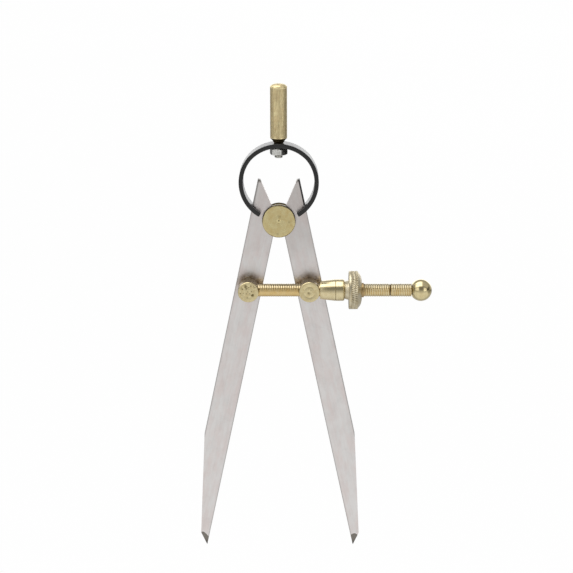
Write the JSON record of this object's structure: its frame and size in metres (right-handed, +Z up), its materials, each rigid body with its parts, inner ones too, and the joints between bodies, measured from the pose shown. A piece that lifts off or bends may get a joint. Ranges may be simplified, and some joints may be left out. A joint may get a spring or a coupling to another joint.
{
  "type": "spring divider",
  "caption": "Spring divider with flat pointed steel legs, a bow spring, a knurled grip and a brass screw and nut that set the opening.",
  "frame": {"origin": "midway between the two points of the legs, on the surface that they stand on, with the legs opened as in the rest pose", "axes": "+Z up along the grip's axis, +X along the spindle towards its ball, -Y towards the front, where the posts and the spindle are; the legs' middle plane is Y = 0"},
  "size_m": [0.1046, 0.02, 0.2156],
  "materials": {
    "leg_steel": "satin ground",
    "black_spring_steel": "oil-blackened, glossy",
    "plated_steel": "zinc plated",
    "turned_brass": "turned, lightly marked",
    "thread_brass": "cut thread",
    "polished_brass": "polished",
    "knurled_brass": "knurled, worn"
  },
  "bodies": {
    "head": {"grip": "knurled_brass", "grip_stud": "plated_steel", "grip_nut": "plated_steel", "bow_spring": "black_spring_steel"},
    "fulcrum": {"fulcrum_spool": "turned_brass"},
    "right_leg": {"right_leg": "leg_steel"},
    "left_leg": {"left_leg": "leg_steel"},
    "right_post": {"right_post": "turned_brass", "right_post_washer": "turned_brass"},
    "left_post": {"left_post": "turned_brass", "left_post_washer": "turned_brass", "spindle": "thread_brass", "end_ball": "polished_brass"},
    "thrust_sleeve": {"nut_sleeve": "polished_brass", "sleeve_ring": "polished_brass"},
    "adjusting_nut": {"adjusting_nut": "knurled_brass"}
  },
  "joints": [
    {"name": "nut_turn", "type": "hinge", "parent": "right_post", "child": "adjusting_nut", "pos_m": [0.032, -0.00695, 0.12457], "axis": [1, 0, 0], "range_deg": [-4650, 7625], "deforming": ["bow_spring"]},
    {"name": "right_leg_swing", "type": "hinge", "parent": "head", "child": "right_leg", "pos_m": [0, 0, 0.15492], "axis": [0, -1, 0], "range_deg": [-12.2, 20]},
    {"name": "left_leg_swing", "type": "hinge", "parent": "head", "child": "left_leg", "pos_m": [0, 0, 0.15492], "axis": [0, 1, 0], "range_deg": [-12.2, 20]},
    {"name": "right_post_turn", "type": "hinge", "parent": "right_leg", "child": "right_post", "pos_m": [0.01356, 0, 0.12457], "axis": [0, 1, 0], "range_deg": [-12.2, 20]},
    {"name": "left_post_turn", "type": "hinge", "parent": "left_leg", "child": "left_post", "pos_m": [-0.01356, 0, 0.12457], "axis": [0, -1, 0], "range_deg": [-12.2, 20]},
    {"name": "sleeve_turn", "type": "hinge", "parent": "right_post", "child": "thrust_sleeve", "pos_m": [0.0217, -0.00695, 0.12457], "axis": [1, 0, 0], "continuous": true},
    {"name": "fulcrum_turn", "type": "hinge", "parent": "head", "child": "fulcrum", "pos_m": [0, 0, 0.15492], "axis": [0, 1, 0], "continuous": true}
  ],
  "couplings": [
    {"joint": "right_leg_swing", "follows": "nut_turn", "ratio": 0.0026225},
    {"joint": "left_leg_swing", "follows": "nut_turn", "ratio": 0.0026225},
    {"joint": "right_post_turn", "follows": "nut_turn", "ratio": 0.0026225},
    {"joint": "left_post_turn", "follows": "nut_turn", "ratio": 0.0026225}
  ]
}
